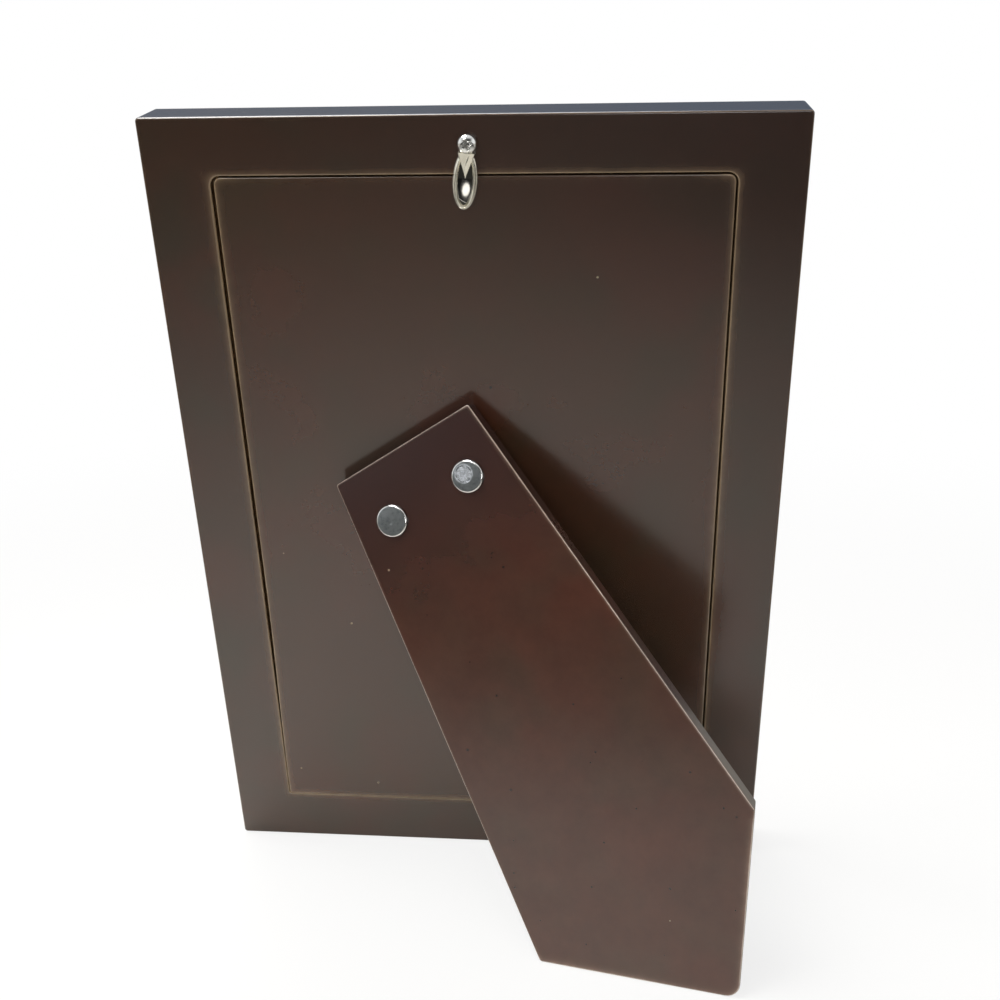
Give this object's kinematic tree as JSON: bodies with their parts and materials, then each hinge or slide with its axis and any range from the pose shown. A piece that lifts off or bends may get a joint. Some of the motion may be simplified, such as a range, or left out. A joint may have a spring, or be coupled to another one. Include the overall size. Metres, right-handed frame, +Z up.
{
  "type": "easel back photo frame",
  "caption": "Leaning photo frame with a rebated one-piece body, a flush back panel held by a spoon-shaped turn button, and a flared easel leg that folds on a riveted hinge.",
  "frame": {"origin": "on the table, under the middle of the box that the standing frame fills", "axes": "+Z up, the picture faces -Y and the easel leg stands behind it on the +Y side"},
  "size_m": [0.1322, 0.0702, 0.181],
  "materials": {
    "espresso_lacquer": "semi-gloss dark brown lacquer on fibreboard, rubbed thin along the edges",
    "panel_lacquer": "semi-gloss dark brown lacquer on fibreboard, rubbed thin along the edges",
    "mahogany_lacquer": "semi-gloss red-brown lacquer, worn along the edges",
    "clear_glass": "clear float glass",
    "print_paper": "bare satin print paper",
    "grey_card": "grey card",
    "nickel_plate": "bright nickel plate",
    "zinc_plate": "dull zinc plate with bright rims",
    "hinge_steel": "plain plated steel"
  },
  "bodies": {
    "frame": {"frame_body": "espresso_lacquer", "glass_pane": "clear_glass", "photo_sheet": "print_paper", "backing_card": "grey_card", "back_panel": "panel_lacquer", "hinge_panel_leaf": "hinge_steel", "panel_rivets": "zinc_plate", "hinge_pin": "hinge_steel", "turn_button_screw": "nickel_plate"},
    "leg": {"easel_leg": "mahogany_lacquer", "hinge_leg_leaf": "hinge_steel", "leg_rivets": "zinc_plate"},
    "button": {"turn_button": "nickel_plate"}
  },
  "joints": [
    {"name": "leg_fold", "type": "hinge", "parent": "frame", "child": "leg", "pos_m": [0.0114, 0.00049, 0.10403], "axis": [-0.8377, 0.1154, 0.5338], "range_deg": [0, 23]},
    {"name": "button_swivel", "type": "hinge", "parent": "frame", "child": "button", "pos_m": [0, 0.01382, 0.17326], "axis": [0, 0.9774, -0.2113], "continuous": true}
  ]
}
